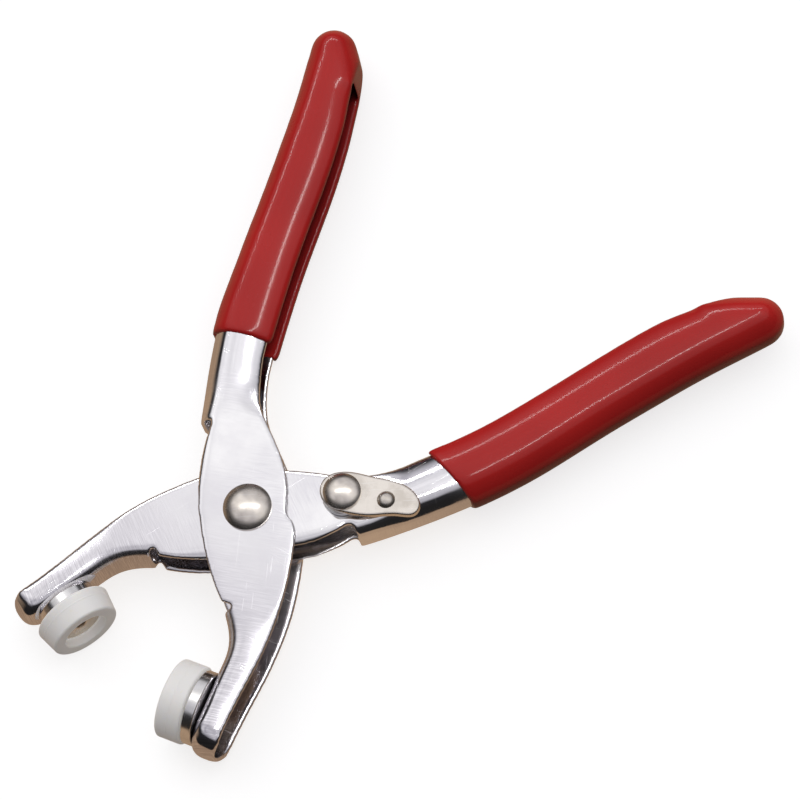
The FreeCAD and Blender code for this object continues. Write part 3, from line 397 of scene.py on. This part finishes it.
def joined(parts):
    """The rest meshes of these nodes as one mesh, in the row frame."""
    bpy.context.view_layer.update()
    bm = bmesh.new()
    for part in parts:
        done = set(bm.verts)
        bm.from_mesh(nodes[part].data)
        bmesh.ops.transform(bm, matrix=nodes[part].matrix_world, verts=[v for v in bm.verts if v not in done])
    bmesh.ops.remove_doubles(bm, verts=bm.verts, dist=1e-7)
    me = bpy.data.meshes.new("joined")
    bm.to_mesh(me)
    bm.free()
    return me


def crown(bm, start, full, drop, reach, jaw_drop):
    """Round the cheeks of a channel off towards its outline, the way a press leaves them; the underside less."""
    cell = 0.0005
    bm.normal_update()
    covered = {(round(v.co.x / cell), round(v.co.y / cell)) for v in bm.verts}
    zs = [v.co.z for v in bm.verts if math.hypot(v.co.x, v.co.y) > full and v.co.y > 0]
    mid, half = (max(zs) + min(zs)) / 2, (max(zs) - min(zs)) / 2
    walls, rims = [], []
    for v in bm.verts:
        n = v.normal
        if abs(n.z) < 0.35 and math.hypot(v.co.x, v.co.y) > start - reach:
            q = Vector((n.x, n.y)).normalized()
            x, y = round((v.co.x + q.x * 0.0012) / cell), round((v.co.y + q.y * 0.0012) / cell)
            if all((x + i, y + j) not in covered for i in (-1, 0, 1) for j in (-1, 0, 1)):
                into = walls if abs(v.co.z - mid) < 0.6 * half else rims
                into.append((Vector((v.co.x, v.co.y, 0.0)), q))
    # a rim is an open edge of a cheek, so nothing close to a wall counts as one
    near_wall = kdtree.KDTree(len(walls))
    for i, q in enumerate(walls):
        near_wall.insert(q[0], i)
    near_wall.balance()
    rims = [q for q in rims if not walls or near_wall.find(q[0])[2] > 0.0026]
    trees = []
    for found in (walls, rims):
        tree = kdtree.KDTree(len(found))
        for i, q in enumerate(found):
            tree.insert(q[0], i)
        tree.balance()
        trees.append(tree)
    for v in bm.verts:
        r = math.hypot(v.co.x, v.co.y)
        if r <= start:
            continue
        amount = step(r, start, full) * (drop if v.co.y > 0 else jaw_drop)
        flat = Vector((v.co.x, v.co.y, 0.0))
        k = [0.0, 0.0]
        near = [None, None]
        for i in (0, 1):
            if len((walls, rims)[i]):
                found = trees[i].find(flat)
                near[i] = found[1]
                k[i] = max(0.0, 1.0 - found[2] / reach) ** 2
        down = max(0.72 * k[0], k[1])
        above = v.co.z > mid
        v.co.z = mid + (v.co.z - mid) * (1.0 - amount * down * (1.0 if above else 0.25) / half)
        if v.co.y > 0 and k[1] > 0.0:
            ease = step(near_wall.find(flat)[2], 0.003, 0.012) if walls else 1.0
            q = rims[near[1]][1] * (amount * k[1] * ease * (0.18 if above else 0.08))
            v.co.x = min(max(v.co.x + q.x, cad_lo[0] + 0.0001), cad_hi[0] - 0.0001)
            v.co.y = min(max(v.co.y + q.y, cad_lo[1] + 0.0001), cad_hi[1] - 0.0001)


def soft_skin(name, parts, replaced, body, coat, voxel, rounds, shape, cut=None):
    """One soft-edged skin over these nodes. cut: two points of the line it ends on, and a point on the kept side."""
    me = joined(parts)
    o = bpy.data.objects.new(name, me)
    scene.collection.objects.link(o)
    mod = o.modifiers.new("skin", "REMESH")
    mod.mode = "VOXEL"
    mod.voxel_size = voxel
    whole = bpy.data.meshes.new_from_object(o.evaluated_get(bpy.context.evaluated_depsgraph_get()))
    o.modifiers.clear()
    bm = bmesh.new()
    bm.from_mesh(whole)
    crown(bm, *shape)
    for k in range(rounds):
        bmesh.ops.smooth_vert(bm, verts=bm.verts, factor=0.5, use_axis_x=True, use_axis_y=True, use_axis_z=True)
    if cut:
        a, b, keep = (Vector((q[0], q[1], 0.0)) for q in cut)
        n = (b - a).cross(Vector((0, 0, 1))).normalized()
        if (keep - a).dot(n) < 0:
            n = -n
        done = bmesh.ops.bisect_plane(bm, geom=bm.verts[:] + bm.edges[:] + bm.faces[:], dist=1e-7,
                                      plane_co=a + n * 0.00004, plane_no=n, clear_inner=True)
        rim = [e for e in done["geom_cut"] if isinstance(e, bmesh.types.BMEdge)]
        lip = [v for v in done["geom_cut"] if isinstance(v, bmesh.types.BMVert)]
        bmesh.ops.triangle_fill(bm, use_beauty=True, use_dissolve=False, edges=rim)
        near = [v for v in bm.verts if 0.0 <= (v.co - a).dot(n) < 0.0014]
        for k in range(5):
            bmesh.ops.smooth_vert(bm, verts=near, factor=0.5, use_axis_x=True, use_axis_y=True, use_axis_z=True)
    # only the largest connected skin stays
    bm.verts.index_update()
    seen, best = set(), []
    for v in bm.verts:
        if v in seen:
            continue
        group, stack = [], [v]
        seen.add(v)
        while stack:
            x = stack.pop()
            group.append(x)
            for e in x.link_edges:
                y = e.other_vert(x)
                if y not in seen:
                    seen.add(y)
                    stack.append(y)
        if len(group) > len(best):
            best = group
    stays = set(best)
    bmesh.ops.delete(bm, geom=[v for v in bm.verts if v not in stays], context="VERTS")
    bmesh.ops.recalc_face_normals(bm, faces=bm.faces)
    final = bpy.data.meshes.new(name)
    bm.to_mesh(final)
    bm.free()
    for f in final.polygons:
        f.use_smooth = True
    final.materials.append(coat)
    o.data = final
    bpy.data.meshes.remove(me)
    bpy.data.meshes.remove(whole)
    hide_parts(replaced)
    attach(o, body)
    return o


# (crown starts, is full, drop on the handle, reach in from the outline, drop on the jaw), metres
OUTER_SHAPE = (0.020, 0.030, 0.0021, 0.0064, 0.0009)
INNER_SHAPE = (0.0255, 0.034, 0.0024, 0.0066, 0.0009)
skins = []
skins += [soft_skin("outer_arm_skin", ("outer_arm",), "outer_arm", "outer_side",
          nodes["outer_arm"].data.materials[0], 0.00038, 8, OUTER_SHAPE)]
skins += [soft_skin("inner_arm_skin", ("inner_arm",), "inner_arm", "inner_side",
          nodes["inner_arm"].data.materials[0], 0.00038, 8, INNER_SHAPE)]
skins += [soft_skin("outer_grip_skin", ("outer_grip", "outer_arm"), "outer_grip", "outer_side", red, 0.00036, 14,
          OUTER_SHAPE, ((-0.0324, 0.0266), (-0.0219, 0.0314), (-0.045, 0.07)))]
skins += [soft_skin("inner_grip_skin", ("inner_grip", "inner_arm"), "inner_grip", "inner_side", red, 0.00036, 14,
          INNER_SHAPE, ((0.0356, 0.0299), (0.0223, 0.0326), (0.045, 0.07)))]

# ------------------------------------------------------------------ return spring as one smooth wire
def spring_piece():
    leg = Vector((0.0249, 0.0176, 0.0))
    rm, wire_r, pitch, mid = 0.0046, 0.00055, 0.00125, 0.0085
    phi = math.atan2(leg.y, leg.x)
    half = math.acos(rm / leg.length)
    th1 = phi - half + 2 * math.pi * 4
    th0 = math.pi - (phi - half)
    turn = th1 - th0
    zs = -pitch * turn / (4 * math.pi)
    pts = []
    a0 = Vector((-leg.x, leg.y, zs))
    s0 = Vector((rm * math.cos(th0), rm * math.sin(th0), zs))
    s1 = Vector((rm * math.cos(th1), rm * math.sin(th1), -zs))
    a1 = Vector((leg.x, leg.y, -zs))
    for k in range(24):
        pts.append(a0.lerp(s0, k / 24.0))
    n = 200
    for k in range(n + 1):
        q = k / n
        a = th0 + turn * q
        pts.append(Vector((rm * math.cos(a), rm * math.sin(a), zs - 2 * zs * q)))
    for k in range(1, 25):
        pts.append(s1.lerp(a1, k / 24.0))
    pts = [p + Vector((0, 0, mid)) for p in pts]
    around = 18
    verts, faces = [], []
    up = Vector((0, 0, 1))
    for i, p in enumerate(pts):
        d = (pts[min(i + 1, len(pts) - 1)] - pts[max(i - 1, 0)]).normalized()
        x = d.cross(up).normalized()
        y = x.cross(d).normalized()
        for j in range(around):
            c = 2 * math.pi * j / around
            verts.append(p + x * (wire_r * math.cos(c)) + y * (wire_r * math.sin(c)))
    for i in range(len(pts) - 1):
        for j in range(around):
            a, b = i * around + j, i * around + (j + 1) % around
            faces.append((a, b, b + around, a + around))
    faces.append(tuple(range(around)))
    faces.append(tuple(reversed(range((len(pts) - 1) * around, len(pts) * around))))
    mesh = bpy.data.meshes.new("return_spring_wire")
    mesh.from_pydata([tuple(v) for v in verts], [], faces)
    mesh.validate()
    for f in mesh.polygons:
        f.use_smooth = len(f.vertices) == 4
    mesh.materials.append(wire)
    o = bpy.data.objects.new("return_spring_wire", mesh)
    scene.collection.objects.link(o)
    return o


spring = spring_piece()
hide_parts("return_spring")
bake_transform(spring)


# ------------------------------------------------------------------ set: floor, reflections, light
def plane(name, size, z, centre=(0.0, 0.02)):
    x, y = centre
    me = bpy.data.meshes.new(name)
    me.from_pydata([(x - size, y - size, z), (x + size, y - size, z), (x + size, y + size, z), (x - size, y + size, z)],
                   [], [(0, 1, 2, 3)])
    o = bpy.data.objects.new(name, me)
    scene.collection.objects.link(o)
    return o


floor = plane("floor", 3.0, -0.0003)
m, t, p, where = material("floor_pale")
t.put(p.inputs["Base Color"], t.mix(t.band(t.noise(where, 6.0, 2.0, 0.5), 0.3, 0.7), rgb(0.56, 0.56, 0.555), rgb(0.545, 0.545, 0.54)))
t.put(p.inputs["Roughness"], t.math("MULTIPLY_ADD", t.noise(where, 400.0, 2.0, 0.5), 0.1, 0.6))
p.inputs["Specular IOR Level"].default_value = 0.2
p.inputs["Emission Color"].default_value = rgb(1.0, 1.0, 1.0)
p.inputs["Emission Strength"].default_value = 0.74
floor.data.materials.append(m)
floor.visible_glossy = False
floor.visible_diffuse = False

# the warm table that polished metal picks up, under the pale floor and seen only in reflections
under = plane("reflected_table", 3.0, -0.0006)
m = bpy.data.materials.new("reflected_table")
m.use_nodes = True
t = Tree(m.node_tree)
out = t.node("ShaderNodeOutputMaterial")
e = t.node("ShaderNodeEmission")
pos = t.node("ShaderNodeTexCoord").outputs["Object"]
d = t.vmath("LENGTH", pos, out=1)
c = t.mix(t.band(t.noise(pos, 14.0, 2.0, 0.5), 0.3, 0.7), rgb(0.46, 0.315, 0.205), rgb(0.39, 0.265, 0.175))
c = t.mix(t.band(d, 0.25, 1.3), c, rgb(0.16, 0.10, 0.07))
t.put(e.inputs["Color"], c)
e.inputs["Strength"].default_value = 1.0
t.t.links.new(e.outputs[0], out.inputs[0])
under.data.materials.append(m)
for flag in ("visible_camera", "visible_diffuse", "visible_transmission", "visible_volume_scatter", "visible_shadow"):
    setattr(under, flag, False)

world = bpy.data.worlds.new("studio")
scene.world = world
world.use_nodes = True
t = Tree(world.node_tree)
out = t.node("ShaderNodeOutputWorld")
bg = t.node("ShaderNodeBackground")
d = t.node("ShaderNodeTexCoord").outputs["Generated"]
z = t.dot(d, (0.0, 0.0, 1.0))
far = t.dot(d, tuple(FAR))
side = t.dot(d, tuple(SIDE))
cap = t.math("MULTIPLY_ADD", far, 0.32, z)
inside = t.band(cap, 0.49, 0.71)
# the overhead panels are uneven: one bright middle strip, softer ones beside it
uneven = t.noise(d, 3.2, 1.0, 0.4)
strip = t.math("ABSOLUTE", t.math("MULTIPLY_ADD", far, 0.9, t.math("MULTIPLY_ADD", side, 0.35, -0.26)))
glow = t.math("ADD", t.band(strip, 0.10, 0.42, 0.62, 0.0), t.band(uneven, 0.35, 0.65, 0.0, 0.38), clamp=True)
box = t.mix(glow, rgb(0.52, 0.51, 0.55), rgb(1.15, 1.14, 1.15))
# a dark ring round the panels; beyond it the room is warm on the far side and black on the viewer's side
room = t.mix(t.band(t.math("MULTIPLY_ADD", side, -0.35, far), -0.15, 0.45), rgb(0.018, 0.017, 0.017), rgb(0.36, 0.26, 0.18))
low = t.mix(t.band(cap, 0.18, 0.38), room, rgb(0.022, 0.021, 0.023))
t.put(bg.inputs["Color"], t.mix(inside, low, box))
bg.inputs["Strength"].default_value = 1.0
t.t.links.new(bg.outputs[0], out.inputs[0])


def area(name, where, towards, size, power, colour=(1, 1, 1)):
    light = bpy.data.lights.new(name, "AREA")
    light.shape = "RECTANGLE"
    light.size, light.size_y = size
    light.energy = power
    light.color = colour
    o = bpy.data.objects.new(name, light)
    scene.collection.objects.link(o)
    o.location = where
    o.rotation_mode = "QUATERNION"
    o.rotation_quaternion = (Vector(towards) - Vector(where)).to_track_quat("-Z", "Y")
    return o


mid = Vector((0.0, 0.02, 0.0))
# the thin softboxes only draw lines on the arms and grips, not spots on the rivet heads
lit = bpy.data.collections.new("lit_by_strips")
for o in skins:
    lit.objects.link(o)


def strip_light(name, receivers, direction, along, size, radiance, distance=1.1):
    """A long thin softbox seen from the object in this direction, its length along another."""
    d = Vector(direction).normalized()
    o = area(name, mid + d * distance, mid, size, radiance * math.pi * size[0] * size[1])
    z = d
    x = Vector(along)
    x = (x - z * x.dot(z)).normalized()
    y = z.cross(x)
    o.rotation_mode = "QUATERNION"
    o.rotation_quaternion = Matrix((x, y, z)).transposed().to_quaternion()
    o.light_linking.receiver_collection = receivers
    return o


strip_light("strip_right", lit, (0.17, 0.25, 0.95), (-0.10, 0.62, -0.16), (0.75, 0.058), 22.0)
strip_light("strip_rim", lit, (-0.70, 0.36, 0.61), (0.35, 0.93, 0.10), (0.7, 0.05), 14.0)
strip_light("strip_far", lit, (-0.40, 0.70, 0.58), (0.75, 0.60, 0.0), (0.6, 0.05), 15.0)

# one broad soft panel gives the rivet heads, the latch rivet and washers and the dies their bright middle band; the
# latch lever is left out
small = bpy.data.collections.new("lit_by_panel")
for key in nodes.keys():
    if not key.endswith(("_arm", "_grip", "_spring", "_lever")):
        small.objects.link(nodes[key])
strip_light("panel_small_pieces", small, (-0.138, 0.188, 0.972), tuple(SIDE), (1.2, 0.24), 1.5)
